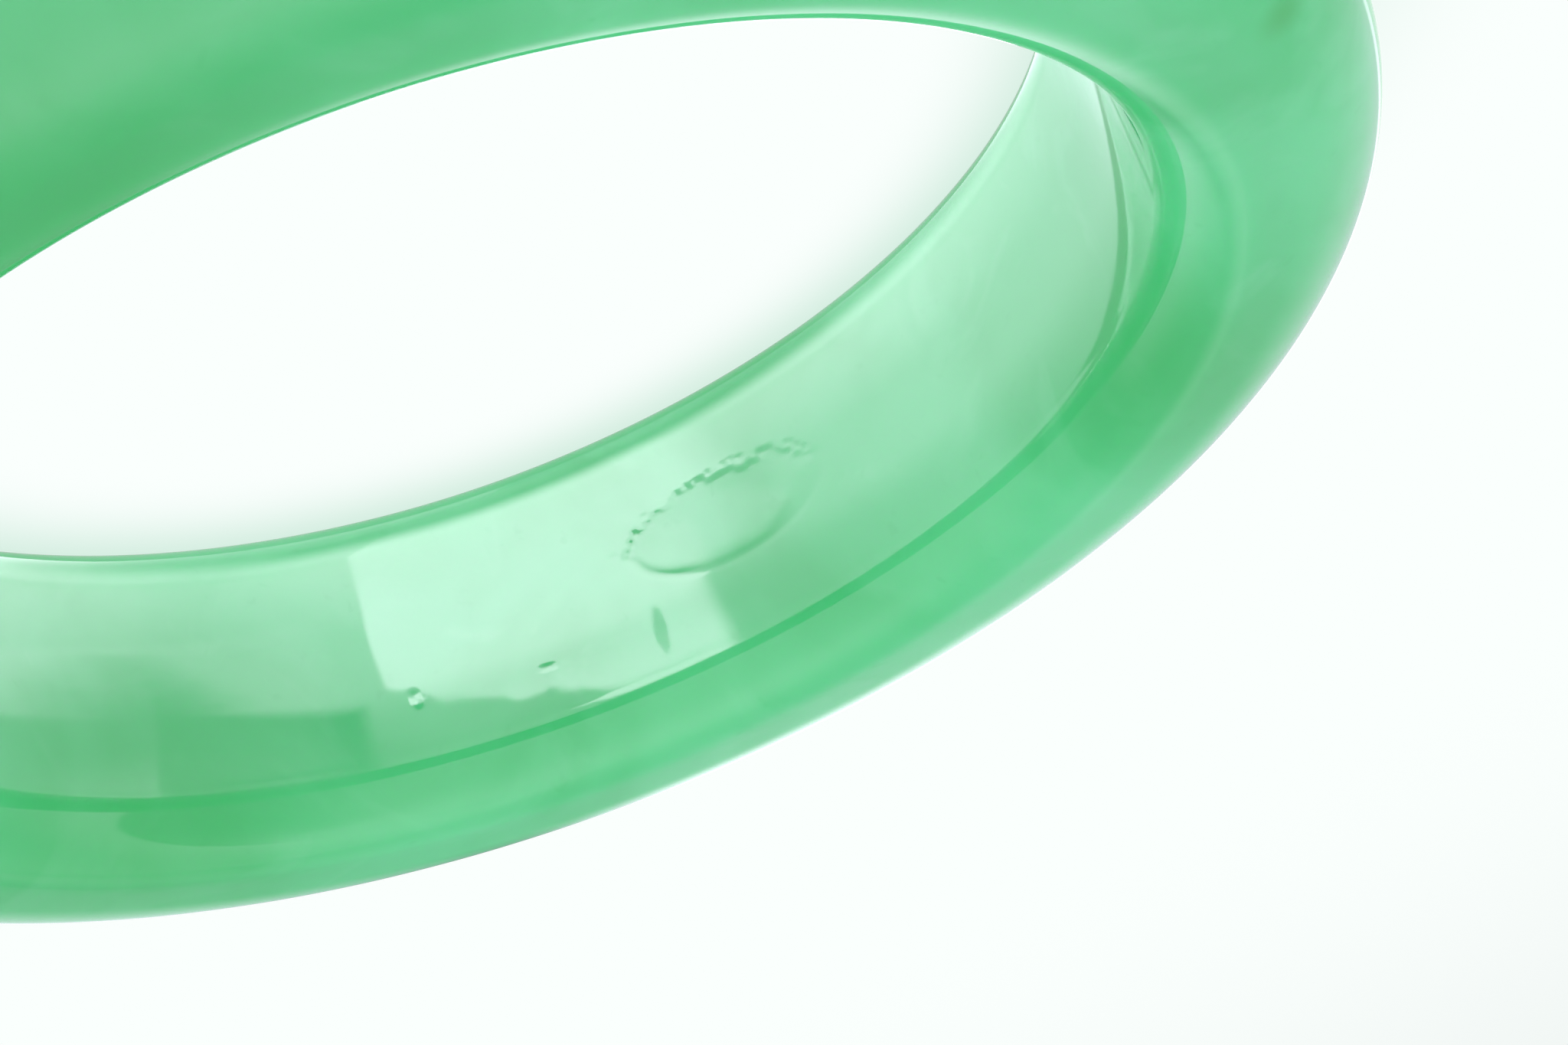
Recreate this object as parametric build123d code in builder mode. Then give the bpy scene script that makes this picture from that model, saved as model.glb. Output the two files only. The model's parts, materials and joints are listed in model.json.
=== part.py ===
from build123d import *
import os

os.makedirs("parts", exist_ok=True)

# One-piece stone bangle, lying flat on its side. Millimetres.
# Z is the axis of the wrist opening. The origin is on that axis, in the plane the ring rests on.

# Wrist opening
BORE_RADIUS = 28.0

# Section of the ring: a flat inner wall, two narrow side lands and a domed outer face
RING_WIDTH = 17.0
WALL_THICKNESS = 10.4
CROWN_RISE = 0.6

# Polished roundings of the section's four corners
INNER_EDGE_RADIUS = 3.2
OUTER_SHOULDER_RADIUS = 5.2

# Least flat land that stays on each side between its two roundings
SIDE_LAND_MIN = 0.5

# Sizes that follow from the ones above
OUTER_RADIUS = BORE_RADIUS + WALL_THICKNESS
SIDE_OUTER_RADIUS = OUTER_RADIUS - CROWN_RISE
MID_HEIGHT = RING_WIDTH / 2

# The shoulder rounding ends before the inner edge rounding begins
SHOULDER_ROOM = WALL_THICKNESS - CROWN_RISE - INNER_EDGE_RADIUS - SIDE_LAND_MIN
SHOULDER_RADIUS = min(OUTER_SHOULDER_RADIUS, SHOULDER_ROOM)

# The stone ring, turned about Z
with BuildPart() as bangle_ring:
    with BuildSketch(Plane.XZ) as section:
        with BuildLine():
            # Flat inner wall, from the resting side to the upper side
            Line((BORE_RADIUS, 0), (BORE_RADIUS, RING_WIDTH))
            # Upper side land
            Line((BORE_RADIUS, RING_WIDTH), (SIDE_OUTER_RADIUS, RING_WIDTH))
            # Domed outer face
            ThreePointArc(
                (SIDE_OUTER_RADIUS, RING_WIDTH),
                (OUTER_RADIUS, MID_HEIGHT),
                (SIDE_OUTER_RADIUS, 0),
            )
            # Lower side land, on which the ring rests
            Line((SIDE_OUTER_RADIUS, 0), (BORE_RADIUS, 0))
        make_face()
        # Rounded mouth of the opening on both sides
        fillet(section.vertices().group_by(Axis.X)[0], INNER_EDGE_RADIUS)
        # Rounded shoulders between the side lands and the domed face
        fillet(section.vertices().group_by(Axis.X)[-1], SHOULDER_RADIUS)
    revolve(axis=Axis.Z)
bangle_ring.part.label = "bangle_ring"
export_step(bangle_ring.part, "parts/bangle_ring.step")
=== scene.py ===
import json
import math
import random

import bmesh
import bpy
import numpy as np
from mathutils import Matrix, Vector, noise


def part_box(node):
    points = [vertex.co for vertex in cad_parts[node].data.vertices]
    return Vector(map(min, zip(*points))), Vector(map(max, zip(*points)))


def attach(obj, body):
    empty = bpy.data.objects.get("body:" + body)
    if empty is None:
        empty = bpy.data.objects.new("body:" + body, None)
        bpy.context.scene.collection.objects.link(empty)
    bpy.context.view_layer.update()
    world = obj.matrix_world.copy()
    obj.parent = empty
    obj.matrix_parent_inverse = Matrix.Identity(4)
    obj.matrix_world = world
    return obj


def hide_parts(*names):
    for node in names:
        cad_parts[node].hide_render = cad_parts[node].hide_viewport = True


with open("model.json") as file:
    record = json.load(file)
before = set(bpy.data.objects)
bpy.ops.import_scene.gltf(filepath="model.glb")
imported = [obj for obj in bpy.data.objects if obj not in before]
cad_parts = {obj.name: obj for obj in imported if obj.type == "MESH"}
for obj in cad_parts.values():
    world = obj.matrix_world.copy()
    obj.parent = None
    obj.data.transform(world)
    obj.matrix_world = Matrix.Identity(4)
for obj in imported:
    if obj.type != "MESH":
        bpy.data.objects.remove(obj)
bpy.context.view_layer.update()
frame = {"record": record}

# A one-piece stone bangle lying on its side. Lengths are in metres, and +Z is the axis of the opening.
# A turn or azimuth is in degrees about +Z from +X, the side that the camera is on.
MM = 0.001


# ---------------------------------------------------------------- sizes taken from the frame

ring_low, ring_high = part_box("bangle_ring")
OUTER_RADIUS = (ring_high.x - ring_low.x) / 2
RING_WIDTH = ring_high.z - ring_low.z
HALF_WIDTH = RING_WIDTH / 2
MID_HEIGHT = (ring_high.z + ring_low.z) / 2

opening = next(m for m in frame["record"]["mounts"] if m["name"] == "wrist_opening")
BORE_RADIUS = opening["dims"]["r_mm"] * MM
WALL_HALF = opening["dims"]["length_mm"] * MM / 2
INNER_EDGE_RADIUS = HALF_WIDTH - WALL_HALF

# Roundings of the turned section that the frame doesn't state, as the CAD ring has them
OUTER_SHOULDER_RADIUS = 5.2 * MM
CROWN_RISE = 0.6 * MM


# ---------------------------------------------------------------- section of the ring

# How finely the section is divided: the wall by length, every other stretch by number
WALL_STEP = 0.15 * MM
EDGE_STEPS = 24
LAND_STEPS = 3
SHOULDER_STEPS = 28
CROWN_STEPS = 14


def arc_points(centre_r, centre_z, radius, start, end, steps):
    """Points and outward normals along an arc; the first point is left out."""
    points = []
    for i in range(1, steps + 1):
        a = start + (end - start) * i / steps
        normal = (math.cos(a), math.sin(a))
        points.append((centre_r + radius * normal[0], centre_z + radius * normal[1], *normal))
    return points


def land_points(start_r, end_r, side):
    """Points and outward normals along a side land; the first point is left out. side is 1 or -1."""
    step = (end_r - start_r) / LAND_STEPS
    return [(start_r + step * i, side * HALF_WIDTH, 0.0, side) for i in range(1, LAND_STEPS + 1)]


def section_outline():
    """The closed section as rows of r, z from mid-height, and normal, from the foot of the inner wall."""
    crown_radius = (HALF_WIDTH ** 2 + CROWN_RISE ** 2) / (2 * CROWN_RISE)
    crown_centre = OUTER_RADIUS - crown_radius
    # The shoulder's arc touches both the land and the crown's arc
    shoulder_z = HALF_WIDTH - OUTER_SHOULDER_RADIUS
    reach = crown_radius - OUTER_SHOULDER_RADIUS
    shoulder_r = crown_centre + math.sqrt(reach ** 2 - shoulder_z ** 2)
    turn = math.asin(shoulder_z / reach)
    edge_r = BORE_RADIUS + INNER_EDGE_RADIUS
    inward, up = math.pi, math.pi / 2

    wall_steps = round(2 * WALL_HALF / WALL_STEP)
    outline = [(BORE_RADIUS, WALL_HALF * (2 * i / wall_steps - 1), -1.0, 0.0) for i in range(wall_steps + 1)]
    outline += arc_points(edge_r, WALL_HALF, INNER_EDGE_RADIUS, inward, up, EDGE_STEPS)
    outline += land_points(edge_r, shoulder_r, 1.0)
    outline += arc_points(shoulder_r, shoulder_z, OUTER_SHOULDER_RADIUS, up, turn, SHOULDER_STEPS)
    outline += arc_points(crown_centre, 0.0, crown_radius, turn, -turn, CROWN_STEPS)
    outline += arc_points(shoulder_r, -shoulder_z, OUTER_SHOULDER_RADIUS, -turn, -up, SHOULDER_STEPS)
    outline += land_points(shoulder_r, edge_r, -1.0)
    outline += arc_points(edge_r, -WALL_HALF, INNER_EDGE_RADIUS, -up, -inward, EDGE_STEPS)[:-1]
    return np.array(outline)


# ---------------------------------------------------------------- natural flaws of the stone

# The shallow oval scar on the inner wall: its middle, as turn and height from mid-height, and its size
SCAR_TURN, SCAR_HEIGHT = 200.7, -0.65 * MM
SCAR_HALF_LONG, SCAR_HALF_WIDE = 5.3 * MM, 2.3 * MM
SCAR_DEPTH = 0.05 * MM
SCAR_FURROW_DEPTH = 0.034 * MM
SCAR_UNEVEN_SIZE, SCAR_UNEVEN_DEPTH = 1.6 * MM, 0.012 * MM

# Where the scar's ragged side, its far end and its near end begin and are complete, from its middle
RAGGED_SIDE = (0.2 * MM, -0.6 * MM)
FAR_END = (1.0 * MM, 4.5 * MM)
NEAR_END = (-1.5 * MM, -5.0 * MM)
RAGGED_SIZES, RAGGED_SHARES = (1.1 * MM, 0.35 * MM), (0.30, 0.12)

# Pits along the ragged side, from and over these degrees of the oval
PIT_COUNT = 22
PITS_FROM, PITS_OVER = -172, 150
PIT_SIZES, PIT_DEPTHS = (0.10, 0.20), (0.01, 0.035)

# A slit beside the scar, a dash further on, and a grain that stands out over a small pit
SLIT_TURN, SLIT_HEIGHT, SLIT_DEPTH = 190.2, 3.3 * MM, 0.030 * MM
SLIT_HALF_WIDE, SLIT_HALF_LONG = 0.36 * MM, 1.35 * MM
SLIT_LEAN = 0.08
DASH_TURN, DASH_HEIGHT, DASH_DEPTH = 178.8, 2.9 * MM, 0.035 * MM
DASH_HALF_LONG, DASH_HALF_WIDE = 0.55 * MM, 0.16 * MM
GRAIN_TURN, GRAIN_HEIGHT, GRAIN_RISE = 165.8, 2.8 * MM, 0.07 * MM
GRAIN_HALF_LONG, GRAIN_HALF_WIDE = 0.26 * MM, 0.22 * MM
GRAIN_PIT_BELOW, GRAIN_PIT_DEPTH = 0.5 * MM, 0.06 * MM
GRAIN_PIT_HALF_LONG, GRAIN_PIT_HALF_WIDE = 0.16 * MM, 0.2 * MM


def smooth(low, high, value):
    """0 at low and before it, 1 at high and after it, easing between; low may be the greater."""
    t = np.clip((value - low) / (high - low), 0.0, 1.0)
    return t * t * (3 - 2 * t)


def waves(places, size, seed):
    """Seeded smooth noise, about -1 to 1, at places in metres; size is the length of its waves."""
    shift = Vector((17.3 * seed, 5.1 * seed, 9.7 * seed))
    return np.array([noise.noise(Vector(p) / size + shift) for p in places])


def oval(along, across, half_long, half_wide):
    """0 at the middle of an oval and 1 on its edge."""
    return np.sqrt((along / half_long) ** 2 + (across / half_wide) ** 2)


def length_from(flaw_turn, turn):
    """How far along the inner wall a turn is from a flaw's middle."""
    return np.radians(turn - flaw_turn) * BORE_RADIUS


def scar(turn, height, places):
    """The scar's depth below the wall and how unpolished it is: one end sinks away, one side is ragged."""
    along = length_from(SCAR_TURN, turn)
    across = height - SCAR_HEIGHT
    ragged_side = smooth(*RAGGED_SIDE, across)
    far_end = smooth(*FAR_END, along)
    near_end = smooth(*NEAR_END, along)
    ragged = waves(places, RAGGED_SIZES[0], 3) * RAGGED_SHARES[0]
    ragged += waves(places, RAGGED_SIZES[1], 4) * RAGGED_SHARES[1]
    edge = oval(along, across, SCAR_HALF_LONG, SCAR_HALF_WIDE) + ragged * ragged_side

    # The scar's floor is tilted: deepest along the ragged side, and raised along the other
    tilt = np.clip(0.15 - across / SCAR_HALF_WIDE, -0.45 * (1 - 0.6 * far_end), 0.65)
    softness = 0.07 + (0.13 + 0.45 * far_end) * (1 - ragged_side)
    depth = SCAR_DEPTH * tilt * (1 - 0.5 * far_end) * smooth(1.0, 1.0 - softness, edge)

    # A furrow runs just inside its edge, mostly round the near end
    depth += SCAR_FURROW_DEPTH * (0.1 + near_end) * np.exp(-(((edge - 0.98) / 0.06) ** 2))
    depth += SCAR_UNEVEN_DEPTH * waves(places, SCAR_UNEVEN_SIZE, 5) * smooth(1.0, 0.7, edge)
    unpolished = smooth(1.02, 0.85, edge) * (1 - 0.6 * far_end)
    return depth + scar_pits(along, across), unpolished


def scar_pits(along, across):
    """Small pits along the scar's ragged side."""
    draw = random.Random(7)
    depth = np.zeros(len(along))
    for i in range(PIT_COUNT):
        angle = math.radians(PITS_FROM + PITS_OVER * i / (PIT_COUNT - 1) + draw.uniform(-3, 3))
        pit_along = SCAR_HALF_LONG * math.cos(angle) * draw.uniform(0.97, 1.03)
        pit_across = SCAR_HALF_WIDE * math.sin(angle) * draw.uniform(0.96, 1.06)
        size = draw.uniform(*PIT_SIZES) * MM
        pit = oval(along - pit_along, across - pit_across, size * 1.3, size)
        depth += draw.uniform(*PIT_DEPTHS) * MM * smooth(1.0, 0.1, pit)
    return depth


def slit(turn, height, places):
    """The slit's depth below the wall, and how unpolished it is."""
    across = height - SLIT_HEIGHT
    along = length_from(SLIT_TURN, turn) + SLIT_LEAN * across
    edge = oval(along, across, SLIT_HALF_WIDE, SLIT_HALF_LONG) + 0.15 * waves(places, 0.5 * MM, 6)
    return SLIT_DEPTH * smooth(1.0, 0.1, edge), 2.0 * smooth(1.05, 0.75, edge)


def dash(turn, height):
    """The dash's depth below the wall."""
    edge = oval(length_from(DASH_TURN, turn), height - DASH_HEIGHT, DASH_HALF_LONG, DASH_HALF_WIDE)
    return DASH_DEPTH * smooth(1.0, 0.2, edge)


def grain(turn, height):
    """The grain, which stands out of the wall, so its depth is below zero, and the pit beside it."""
    along = length_from(GRAIN_TURN, turn)
    across = height - GRAIN_HEIGHT
    rise = smooth(1.0, 0.2, oval(along, across, GRAIN_HALF_LONG, GRAIN_HALF_WIDE))
    pit = oval(along, across + GRAIN_PIT_BELOW, GRAIN_PIT_HALF_LONG, GRAIN_PIT_HALF_WIDE)
    return GRAIN_PIT_DEPTH * smooth(1.0, 0.2, pit) - GRAIN_RISE * rise


def all_flaws(turn, height, places):
    """How far the flaws lie below the turned inner wall, and how unpolished they are, from 0."""
    scar_depth, scar_matt = scar(turn, height, places)
    slit_depth, slit_matt = slit(turn, height, places)
    depth = scar_depth + slit_depth + dash(turn, height) + grain(turn, height)
    return depth, np.maximum(scar_matt, slit_matt)


# ---------------------------------------------------------------- ring mesh

# The turns that carry the flaws are divided finely, and the rest coarsely
FLAW_START, FLAW_END = 150.0, 222.0
FINE_TURN, COARSE_TURN = 0.3, 1.2

# The polished wall falls away a little before its rounded edges
WALL_EASE_START = 1.6 * MM
WALL_EASE_DEPTH = 0.12 * MM

# The slight unevenness left by hand polishing: the length and depth of its small and broad waves
SMALL_WAVES, SMALL_WAVE_DEPTH = 4.0 * MM, 0.005 * MM
BROAD_WAVES, BROAD_WAVE_DEPTH = 11.0 * MM, 0.012 * MM


def ring_turns():
    """The turns of the ring's cross sections, in radians, once round from FLAW_START."""
    fine = np.arange(FLAW_START, FLAW_END, FINE_TURN)
    coarse_steps = round((360 - FLAW_END + FLAW_START) / COARSE_TURN)
    coarse = np.linspace(FLAW_END, FLAW_START + 360.0, coarse_steps + 1)[:-1]
    return np.radians(np.concatenate([fine, coarse]))


def polish_waves(places):
    """How far the polish's waves lie below the turned section."""
    return SMALL_WAVE_DEPTH * waves(places, SMALL_WAVES, 1) + BROAD_WAVE_DEPTH * waves(places, BROAD_WAVES, 2)


def wall_ease(z, normal_r):
    """How far the wall and its edges lie below the turned section."""
    ease = np.clip((np.abs(z) - WALL_EASE_START) / (WALL_HALF - WALL_EASE_START), 0, 1)
    return WALL_EASE_DEPTH * ease ** 2 * (normal_r < 0) * -normal_r


def ring_points(outline, turns):
    """The points of every cross section in order, and how unpolished the stone is at each."""
    theta = np.repeat(turns, len(outline))
    r, z, normal_r, normal_z = np.tile(outline, (len(turns), 1)).T
    places = np.stack([r * np.cos(theta), r * np.sin(theta), z], -1)
    depth = polish_waves(places) + wall_ease(z, normal_r)
    matt = np.zeros(len(depth))
    turn = np.degrees(theta) % 360
    wall = np.flatnonzero((normal_r == -1.0) & (turn > FLAW_START + 1) & (turn < FLAW_END - 1))
    flaw_depth, matt[wall] = all_flaws(turn[wall], z[wall], places[wall])
    depth[wall] += flaw_depth
    r = r - depth * normal_r
    z = z - depth * normal_z
    return np.stack([r * np.cos(theta), r * np.sin(theta), z + MID_HEIGHT], -1), matt


def ring_faces(turn_count, outline_count):
    """Four-sided faces that join each cross section to the next, and the last to the first."""
    j = np.arange(turn_count)[:, None]
    k = np.arange(outline_count)[None, :]
    j_next, k_next = (j + 1) % turn_count, (k + 1) % outline_count
    corners = [(j, k), (j, k_next), (j_next, k_next), (j_next, k)]
    return np.stack([a * outline_count + b for a, b in corners], -1).reshape(-1, 4)


def new_object(name, data):
    made = bpy.data.objects.new(name, data)
    bpy.context.scene.collection.objects.link(made)
    return made


def build_ring():
    outline, turns = section_outline(), ring_turns()
    points, matt = ring_points(outline, turns)
    mesh = bpy.data.meshes.new("stone_ring")
    mesh.from_pydata(points.tolist(), [], ring_faces(len(turns), len(outline)).tolist())
    mesh.polygons.foreach_set("use_smooth", [True] * len(mesh.polygons))
    mesh.attributes.new("matt", "FLOAT", "POINT").data.foreach_set("value", matt)
    mesh.update()
    return new_object("stone_ring", mesh)


# ---------------------------------------------------------------- maths in a material

class Maths:
    """Short names for the nodes that work out a material's values."""

    def __init__(self, tree):
        self.nodes, self.links = tree.nodes, tree.links

    def put(self, socket, value):
        """Gives a socket a plain value, or links another node's output to it."""
        if isinstance(value, (int, float, tuple)):
            socket.default_value = value
        else:
            self.links.new(value, socket)

    def op(self, operation, *values):
        node = self.nodes.new("ShaderNodeMath")
        node.operation = operation
        for index, value in enumerate(values):
            self.put(node.inputs[index], value)
        return node.outputs[0]

    def add(self, *values):
        total = values[0]
        for value in values[1:]:
            total = self.op("ADD", total, value)
        return total

    def times(self, *values):
        total = values[0]
        for value in values[1:]:
            total = self.op("MULTIPLY", total, value)
        return total

    def length(self, a, b):
        return self.op("SQRT", self.add(self.times(a, a), self.times(b, b)))

    def degrees(self, opposite, adjacent):
        return self.times(self.op("ARCTAN2", opposite, adjacent), 180 / math.pi)

    def ramp(self, value, low, high, to_low=0.0, to_high=1.0):
        """to_low at low and before it, to_high at high and after it, easing between."""
        node = self.nodes.new("ShaderNodeMapRange")
        node.interpolation_type = "SMOOTHSTEP"
        for name, number in (
            ("Value", value), ("From Min", low), ("From Max", high), ("To Min", to_low), ("To Max", to_high)
        ):
            self.put(node.inputs[name], number)
        return node.outputs["Result"]

    def fall(self, value, low, high):
        return self.ramp(value, low, high, 1.0, 0.0)

    def span(self, value, low, high, soft):
        """1 between low and high, fading to 0 over the width soft at both ends."""
        rise = self.ramp(value, low - soft / 2, low + soft / 2)
        return self.times(rise, self.fall(value, high - soft / 2, high + soft / 2))

    def noise(self, place, size, detail, distortion=0.0):
        """Smooth noise, 0 to 1, at a place, with waves of the given size in metres."""
        node = self.nodes.new("ShaderNodeTexNoise")
        self.put(node.inputs["Scale"], 1 / size)
        self.put(node.inputs["Detail"], detail)
        self.put(node.inputs["Distortion"], distortion)
        self.put(node.inputs["Vector"], place)
        return node.outputs["Fac"]

    def mix(self, factor, colour, other):
        """A colour with a share of another."""
        node = self.nodes.new("ShaderNodeMix")
        node.data_type = "RGBA"
        for name, value in (("Factor", factor), ("A", colour), ("B", other)):
            self.put(node.inputs[name], value)
        return node.outputs["Result"]

    def place(self):
        """The shaded point in the scene, and its x, y and z."""
        point = self.nodes.new("ShaderNodeNewGeometry").outputs["Position"]
        split = self.nodes.new("ShaderNodeSeparateXYZ")
        self.put(split.inputs[0], point)
        return point, *split.outputs


# ---------------------------------------------------------------- stone material

STONE_COLOUR = (0.090, 0.570, 0.232, 1.0)
SHADE_AND_INCLUSION_COLOUR = (0.072, 0.470, 0.150, 1.0)

# Pale haze, paler veins and dark flecks: the size, detail and distortion of the noise that places each,
# the noise values where it begins and is complete, its greatest share and its colour
LAYERS = (
    (14.0 * MM, 3.0, 0.6, (0.30, 0.70), 1.00, (0.143, 0.655, 0.320, 1.0)),
    (7.0 * MM, 3.0, 1.2, (0.50, 0.74), 0.30, (0.215, 0.700, 0.400, 1.0)),
    (1.3 * MM, 2.0, 0.4, (0.64, 0.80), 0.15, (0.060, 0.480, 0.170, 1.0)),
)

# Spots of deeper green, each as the middle's turn, radius in mm and height in mm, the reach in mm, and the
# share. The first five are broad painted shade, on the top near the opening and low on the outer sides; the
# last is a small dark inclusion
SHADE_AND_INCLUSION_SPOTS = (
    ((18.0, 30.0, 16.5), 17.0, 0.85),
    ((137.0, 30.0, 15.5), 17.0, 0.6),
    ((252.0, 30.0, 16.0), 11.0, 0.5),
    ((95.0, 36.0, 6.0), 15.0, 0.6),
    ((310.0, 37.0, 5.0), 13.0, 0.5),
    ((296.8, 35.4, 16.4), 1.6, 0.8),
)

# The polish is between two roughnesses, in patches of one size, and unpolished stone is this much rougher
POLISHED_ROUGHNESS, POLISH_PATCHES = (0.035, 0.075), 6 * MM
UNPOLISHED_ROUGHNESS = 0.14

GRIT_SIZE, GRIT_HEIGHT, GRIT_STRENGTH = 0.8 * MM, 0.004 * MM, 0.25
STONE_IOR = 1.54
LIGHT_REACH = 4 * MM
LIGHT_REACH_BY_COLOUR = (0.4, 1.0, 0.6)


def stone_colour(maths, place):
    """Hazy green with pale veins and small dark flecks, broad patches of painted shade and one small dark
    inclusion.
    """
    colour = STONE_COLOUR
    for size, detail, distortion, begins, share, layer_colour in LAYERS:
        layer = maths.ramp(maths.noise(place, size, detail, distortion), *begins, 0.0, share)
        colour = maths.mix(layer, colour, layer_colour)
    # Broad patches of painted shade, and one small dark inclusion
    for (turn, radius, height), reach, share in SHADE_AND_INCLUSION_SPOTS:
        angle = math.radians(turn)
        middle = (radius * math.cos(angle) * MM, radius * math.sin(angle) * MM, height * MM)
        from_middle = maths.nodes.new("ShaderNodeVectorMath")
        from_middle.operation = "DISTANCE"
        maths.put(from_middle.inputs[0], place)
        maths.put(from_middle.inputs[1], middle)
        shade_and_inclusion = maths.ramp(from_middle.outputs["Value"], 0.0, reach * MM, share, 0.0)
        colour = maths.mix(shade_and_inclusion, colour, SHADE_AND_INCLUSION_COLOUR)
    return colour


def stone_material():
    """Polished translucent green stone, rougher where the mesh says that it is unpolished."""
    material = bpy.data.materials.new("green_stone")
    material.use_nodes = True
    maths = Maths(material.node_tree)
    shader = maths.nodes["Principled BSDF"]
    place = maths.nodes.new("ShaderNodeTexCoord").outputs["Object"]

    matt = maths.nodes.new("ShaderNodeAttribute")
    matt.attribute_name = "matt"
    polish = maths.ramp(maths.noise(place, POLISH_PATCHES, 4.0, 0.8), 0.3, 0.7, *POLISHED_ROUGHNESS)
    roughness = maths.add(polish, maths.times(UNPOLISHED_ROUGHNESS, matt.outputs["Fac"]))

    grit = maths.nodes.new("ShaderNodeBump")
    maths.put(grit.inputs["Strength"], GRIT_STRENGTH)
    maths.put(grit.inputs["Distance"], GRIT_HEIGHT)
    maths.put(grit.inputs["Height"], maths.noise(place, GRIT_SIZE, 2.0))

    for name, value in (
        ("Base Color", stone_colour(maths, place)),
        ("Roughness", roughness),
        ("Normal", grit.outputs["Normal"]),
        ("IOR", STONE_IOR),
        ("Subsurface Weight", 1.0),
        ("Subsurface Radius", LIGHT_REACH_BY_COLOUR),
        ("Subsurface Scale", LIGHT_REACH),
    ):
        maths.put(shader.inputs[name], value)
    return material


ring = build_ring()
ring.data.materials.append(stone_material())
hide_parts("bangle_ring")
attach(ring, "root")


# ---------------------------------------------------------------- floor

PAPER_WHITE = (0.957, 1.0, 0.982, 1.0)
FLOOR_HALF = 1.5

# A painted shadow under and round the ring, with painted green light spilled from the stone: where it fades
# in and out, as distances from the axis
PAINTED_SHADOW_COLOUR = (0.640, 0.840, 0.730, 1.0)
PAINTED_SHADOW_INSIDE = (22 * MM, 32 * MM)
PAINTED_SHADOW_OUTSIDE = (34 * MM, 62 * MM)

# Painted shade: the paper glows dimmer at some distance from the axis, and as bright as the room again far
# out
FLOOR_DIM = 0.92
FLOOR_DIMS = (0.12, 0.30)
FLOOR_BRIGHTENS = (0.40, 1.40)

# The floor as the polish sees it, between two radii. It carries a painted shadow where the ring rests: it
# brightens away from the middle of the ring's wall
FOOT_GLOW_COLOUR = (0.90, 1.0, 0.94, 1.0)
FOOT_GLOW_RADII = (BORE_RADIUS + 1 * MM, PAINTED_SHADOW_OUTSIDE[1])
FOOT_GLOW_DROP = 0.1 * MM
FOOT_GLOW_STEPS = 96
FOOT_GLOW_PAINTED_SHADOW = 0.6
FOOT_GLOW_BRIGHTENS = (1.0 * MM, 12.0 * MM)


def emission_material(name, colour):
    """A material that only glows: the material, its maths and its emission node."""
    material = bpy.data.materials.new(name)
    material.use_nodes = True
    tree = material.node_tree
    tree.nodes.clear()
    out = tree.nodes.new("ShaderNodeOutputMaterial")
    glow = tree.nodes.new("ShaderNodeEmission")
    glow.inputs["Color"].default_value = colour
    tree.links.new(glow.outputs[0], out.inputs["Surface"])
    return material, Maths(tree), glow


def show_only_in_gloss(seen):
    for kind in ("camera", "diffuse", "transmission", "volume_scatter", "shadow"):
        setattr(seen, "visible_" + kind, False)


def make_floor():
    """Overexposed white paper, with a painted shadow that dims it a little and tints it green close to where
    the ring rests.
    """
    h = FLOOR_HALF
    mesh = bpy.data.meshes.new("floor")
    mesh.from_pydata([(-h, -h, 0), (h, -h, 0), (h, h, 0), (-h, h, 0)], [], [(0, 1, 2, 3)])
    material, maths, glow = emission_material("floor_white", PAPER_WHITE)
    _, x, y, _ = maths.place()
    far = maths.length(x, y)
    # Painted shadow: its share is greatest close round the ring, where the green-tinted shadow colour
    # replaces the paper white
    painted_shadow_share = maths.times(maths.fall(far, *PAINTED_SHADOW_OUTSIDE), maths.ramp(far, *PAINTED_SHADOW_INSIDE))
    maths.put(glow.inputs["Color"], maths.mix(maths.times(painted_shadow_share, painted_shadow_share), PAPER_WHITE, PAINTED_SHADOW_COLOUR))
    # Painted shade: the glow is dimmer at some distance from the axis
    dims = maths.ramp(far, *FLOOR_DIMS, 1.0, FLOOR_DIM)
    brightens = maths.ramp(far, *FLOOR_BRIGHTENS, 1.0, 1.0 / FLOOR_DIM)
    maths.put(glow.inputs["Strength"], maths.times(dims, brightens))
    mesh.materials.append(material)
    floor = new_object("floor", mesh)
    floor.visible_glossy = False
    return floor


def make_foot_glow():
    """The floor close round the ring as the polish sees it: pale, with a painted shadow where the ring rests.
    """
    steps = FOOT_GLOW_STEPS
    corners = []
    for radius in FOOT_GLOW_RADII:
        for i in range(steps):
            a = 2 * math.pi * i / steps
            corners.append((radius * math.cos(a), radius * math.sin(a), -FOOT_GLOW_DROP))
    faces = [(i, (i + 1) % steps, steps + (i + 1) % steps, steps + i) for i in range(steps)]
    mesh = bpy.data.meshes.new("foot_glow")
    mesh.from_pydata(corners, [], faces)
    material, maths, glow = emission_material("foot_glow", FOOT_GLOW_COLOUR)
    _, x, y, _ = maths.place()
    # Painted shadow: the glow is dimmest over the middle of the ring's wall, where the ring rests
    from_middle = maths.op("ABSOLUTE", maths.add(maths.length(x, y), -(BORE_RADIUS + OUTER_RADIUS) / 2))
    strength = maths.ramp(from_middle, *FOOT_GLOW_BRIGHTENS, FOOT_GLOW_PAINTED_SHADOW, 1.0)
    maths.put(glow.inputs["Strength"], strength)
    mesh.materials.append(material)
    foot_glow = new_object("foot_glow", mesh)
    show_only_in_gloss(foot_glow)
    return foot_glow


# ---------------------------------------------------------------- what the stone mirrors

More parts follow.
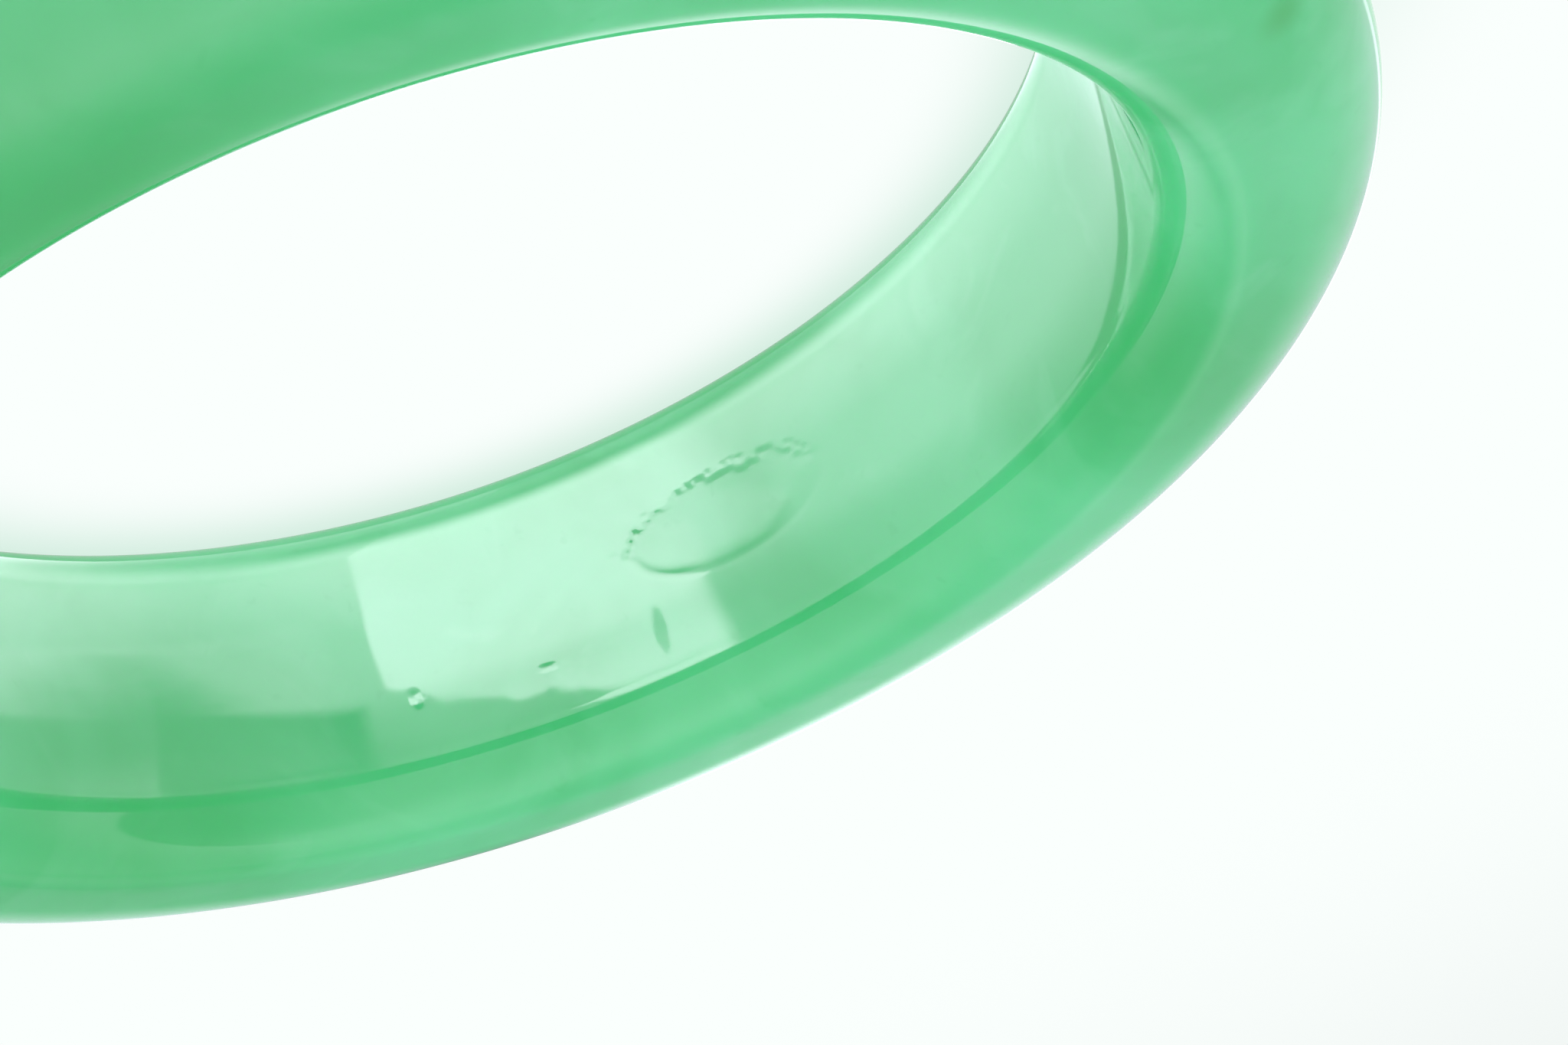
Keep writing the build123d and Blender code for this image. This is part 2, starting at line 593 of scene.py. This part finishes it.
# A sphere of light, seen only in the polish. Its brightness depends on the direction from the ring, as
# azimuth and elevation in degrees. A pair is where a fade begins and ends, and right is greater azimuth.
TENT_RADIUS = 1.2
TENT_COLOUR = (1.0, 0.93, 1.08, 1.0)
TENT_RIGHT_COLOUR, RIGHT_BEGINS = (1.0, 1.06, 1.14, 1.0), (60, 130)
TENT_SUBDIVISIONS = 4
RIPPLE_SIZE = 0.20
RIPPLE_DETAIL = 4.0
ROOM_LIGHT = 0.3
GROUND_LIGHT, GROUND_ENDS = 0.7, (-75, -48)
CEILING_LIGHT, CEILING_BEGINS = 0.5, (35, 78)

# Neither the window nor the side light reaches straight down
LOW_END, LOW_END_SHARE = (-70, -38), 0.06

# A window's light, all of it below the level, with rippled edges: it reaches further right at its foot,
# and its top climbs to the right until it is cut off level
WINDOW_LIGHT = 9.8
WINDOW_LEFT = (-31.8, -30.2)
WINDOW_RIGHT = 27
WINDOW_FOOT, WINDOW_RIGHT_ENDS = (-28.5, -24.5), (70, 33)
WINDOW_TOP, WINDOW_TOP_CLIMB = (-17.9, -16.7), 0.2
WINDOW_CUT_OFF = (-16.0, -14.5)
WINDOW_DIMS, WINDOW_UPPER_SHARE = (-25.5, -20.5), 0.72
SIDE_RIPPLE, TOP_RIPPLE = 2.0, 6.0

# Low light from all sides, weaker on the far right and cut off above a curved line on the left
SIDE_LIGHT = 7.4
SIDE_FADES = (-37, -11)
SIDE_RIGHT, SIDE_RIGHT_SHARE = (70, 165), 0.24
SIDE_LEFT, SIDE_LEFT_SHARE = (-60, -30), 0.75
CUT_ENDS = (-38, -33)
CUT_TURNS, CUT_DEPTHS = (-80, -30), (25.6, 21.9)
CUT_SOFTNESS = (-1.1, 0.7)

# A weaker strip above that line
GAP_LIGHT, GAP_ENDS = 0.8, (-48, -34)
GAP_LOW, GAP_HIGH, GAP_SOFTNESS = -27, -16.5, 1.5

# Light on the side opposite the camera, brightest along its edge, which is softer higher up
BACK_LIGHT = 1.6
BACK_CLIMB = (5, 40)
BACK_EDGE_BEGINS, BACK_EDGE_ENDS = (-3, -11), (3, 9)
BACK_DIMS, BACK_DIM_SHARE = (5, 18), 0.2
BACK_ENDS = (40, 70)
BACK_UPPER, BACK_UPPER_SHARE = (5, 25), 0.35
BACK_TOP = (35, 60)
BACK_LOWER, BACK_LOWER_SHARE = (-30, -10), 0.3

# The room on the camera's side, from these shares of the radius towards +X on, with a leaning dark card
# on its left, and a little light beyond the card
FRONT_LIGHT = 1.2
FRONT_BEGINS = (-0.45, 0.25)
FRONT_LOW = (-22, -16)
CARD_LEAN = 0.25
CARD_LEFT, CARD_RIGHT, CARD_TOP = (-80, -78), (-56, -18), (50, 75)
CARD_SHARE = 0.15
FAR_LEFT_LIGHT, FAR_LEFT_BEGINS = 0.3, (-170, -160)

# A soft light on the far right, with its azimuths from the side opposite the camera
FAR_RIGHT_LIGHT = 0.62
FAR_RIGHT_BEGINS, FAR_RIGHT_ENDS = (-70, -50), (-12, -2)
FAR_RIGHT_FOOT, FAR_RIGHT_TOP = (-24, -14), (5, 36)


def window_light(maths, azimuth, elevation, ripple):
    rippled = maths.add(azimuth, maths.times(SIDE_RIPPLE, ripple))
    right_end = maths.ramp(elevation, *WINDOW_FOOT, *WINDOW_RIGHT_ENDS)
    sides = maths.times(maths.ramp(rippled, *WINDOW_LEFT), maths.fall(rippled, WINDOW_RIGHT, right_end))
    sloping = maths.add(elevation, maths.times(-WINDOW_TOP_CLIMB, azimuth), maths.times(TOP_RIPPLE, ripple))
    top = maths.times(maths.fall(sloping, *WINDOW_TOP), maths.fall(elevation, *WINDOW_CUT_OFF))
    return maths.times(WINDOW_LIGHT, sides, top, maths.ramp(elevation, *WINDOW_DIMS, 1.0, WINDOW_UPPER_SHARE))


def side_light(maths, azimuth, elevation):
    right = maths.ramp(azimuth, *SIDE_RIGHT, 1.0, SIDE_RIGHT_SHARE)
    left = maths.ramp(azimuth, *SIDE_LEFT, SIDE_LEFT_SHARE, 1.0)
    above_line = maths.add(elevation, maths.ramp(azimuth, *CUT_TURNS, *CUT_DEPTHS))
    cut = maths.op("MAXIMUM", maths.ramp(azimuth, *CUT_ENDS), maths.fall(above_line, *CUT_SOFTNESS))
    return maths.times(SIDE_LIGHT, maths.fall(elevation, *SIDE_FADES), right, left, cut)


def back_light(maths, behind, elevation):
    """behind is the azimuth from the side opposite the camera."""
    edge_begins = maths.ramp(elevation, *BACK_CLIMB, *BACK_EDGE_BEGINS)
    edge_ends = maths.ramp(elevation, *BACK_CLIMB, *BACK_EDGE_ENDS)
    across = maths.times(
        maths.ramp(behind, edge_begins, edge_ends),
        maths.ramp(behind, *BACK_DIMS, 1.0, BACK_DIM_SHARE),
        maths.fall(behind, *BACK_ENDS),
    )
    upwards = maths.times(
        maths.ramp(elevation, *BACK_UPPER, 1.0, BACK_UPPER_SHARE),
        maths.fall(elevation, *BACK_TOP),
        maths.ramp(elevation, *BACK_LOWER, BACK_LOWER_SHARE, 1.0),
    )
    return maths.times(BACK_LIGHT, across, upwards)


def far_right_light(maths, behind, elevation):
    across = maths.times(maths.ramp(behind, *FAR_RIGHT_BEGINS), maths.fall(behind, *FAR_RIGHT_ENDS))
    upwards = maths.times(maths.ramp(elevation, *FAR_RIGHT_FOOT), maths.fall(elevation, *FAR_RIGHT_TOP))
    return maths.times(FAR_RIGHT_LIGHT, across, upwards)


def front_light(maths, azimuth, elevation, x):
    slanted = maths.add(azimuth, maths.times(CARD_LEAN, elevation))
    card_sides = maths.times(maths.ramp(slanted, *CARD_LEFT), maths.fall(slanted, *CARD_RIGHT))
    card = maths.times(card_sides, maths.fall(elevation, *CARD_TOP))
    toward = maths.ramp(maths.times(x, 1 / TENT_RADIUS), *FRONT_BEGINS)
    past_card = maths.ramp(card, 0, 1, 1.0, CARD_SHARE)
    front = maths.times(FRONT_LIGHT, toward, past_card, maths.ramp(elevation, *FRONT_LOW))
    beyond_card = maths.times(maths.fall(slanted, *CARD_LEFT), maths.ramp(azimuth, *FAR_LEFT_BEGINS))
    return maths.add(front, maths.times(FAR_LEFT_LIGHT, beyond_card))


def make_reflection_tent():
    mesh = bpy.data.meshes.new("reflection_tent")
    shape = bmesh.new()
    bmesh.ops.create_icosphere(shape, subdivisions=TENT_SUBDIVISIONS, radius=TENT_RADIUS)
    shape.to_mesh(mesh)
    shape.free()
    mesh.flip_normals()
    material, maths, glow = emission_material("reflection_tent", TENT_COLOUR)
    place, x, y, z = maths.place()
    azimuth = maths.degrees(y, x)
    behind = maths.degrees(maths.times(y, -1), maths.times(x, -1))
    elevation = maths.degrees(z, maths.length(x, y))
    ripple = maths.add(maths.noise(place, RIPPLE_SIZE, RIPPLE_DETAIL), -0.5)
    window = window_light(maths, azimuth, elevation, ripple)
    brighter = maths.op("MAXIMUM", window, side_light(maths, azimuth, elevation))
    gap = maths.times(maths.fall(azimuth, *GAP_ENDS), maths.span(elevation, GAP_LOW, GAP_HIGH, GAP_SOFTNESS))
    strength = maths.add(
        ROOM_LIGHT,
        maths.times(brighter, maths.ramp(elevation, *LOW_END, LOW_END_SHARE, 1.0)),
        maths.times(GAP_LIGHT, gap),
        back_light(maths, behind, elevation),
        far_right_light(maths, behind, elevation),
        front_light(maths, azimuth, elevation, x),
        maths.times(CEILING_LIGHT, maths.ramp(elevation, *CEILING_BEGINS)),
        maths.times(GROUND_LIGHT, maths.fall(elevation, *GROUND_ENDS)),
    )
    colour = maths.mix(maths.ramp(azimuth, *RIGHT_BEGINS), TENT_COLOUR, TENT_RIGHT_COLOUR)
    maths.put(glow.inputs["Color"], colour)
    maths.put(glow.inputs["Strength"], strength)
    mesh.materials.append(material)
    tent = new_object("reflection_tent", mesh)
    tent.location = (0, 0, MID_HEIGHT)
    show_only_in_gloss(tent)
    return tent


make_floor()
make_foot_glow()
make_reflection_tent()


# ---------------------------------------------------------------- room light and camera

# The camera looks from the +X side; its aim is off the ring's middle by these shares of the distance
CAMERA_DISTANCE = 134.6 * MM
CAMERA_ELEVATION = math.radians(29.41)
CAMERA_ROLL = math.radians(160.68)
AIM_RIGHT = 0.1014
AIM_UP = -0.0560
LENS = 77.1
CLIP_START = 5 * MM


def light_room():
    """Even white light from all round, with no tone curve over it."""
    scene = bpy.context.scene
    scene.view_settings.view_transform = "Standard"
    scene.world = bpy.data.worlds.new("studio")
    scene.world.use_nodes = True
    background = scene.world.node_tree.nodes["Background"]
    background.inputs["Color"].default_value = PAPER_WHITE
    background.inputs["Strength"].default_value = 1.0


def make_camera():
    centre = Vector((0, 0, MID_HEIGHT))
    back = Vector((math.cos(CAMERA_ELEVATION), 0, math.sin(CAMERA_ELEVATION)))
    forward = -back
    right = forward.cross(Vector((0, 0, 1))).normalized()
    up = right.cross(forward)
    c, s = math.cos(CAMERA_ROLL), math.sin(CAMERA_ROLL)
    right, up = c * right + s * up, c * up - s * right
    forward = (forward + AIM_RIGHT * right + AIM_UP * up).normalized()
    right = forward.cross(up).normalized()
    up = right.cross(forward)
    data = bpy.data.cameras.new("camera")
    data.lens = LENS
    data.clip_start = CLIP_START
    camera = new_object("camera", data)
    turn = Matrix((right, up, -forward)).transposed().to_4x4()
    camera.matrix_world = Matrix.Translation(centre + CAMERA_DISTANCE * back) @ turn
    bpy.context.scene.camera = camera


light_room()
make_camera()
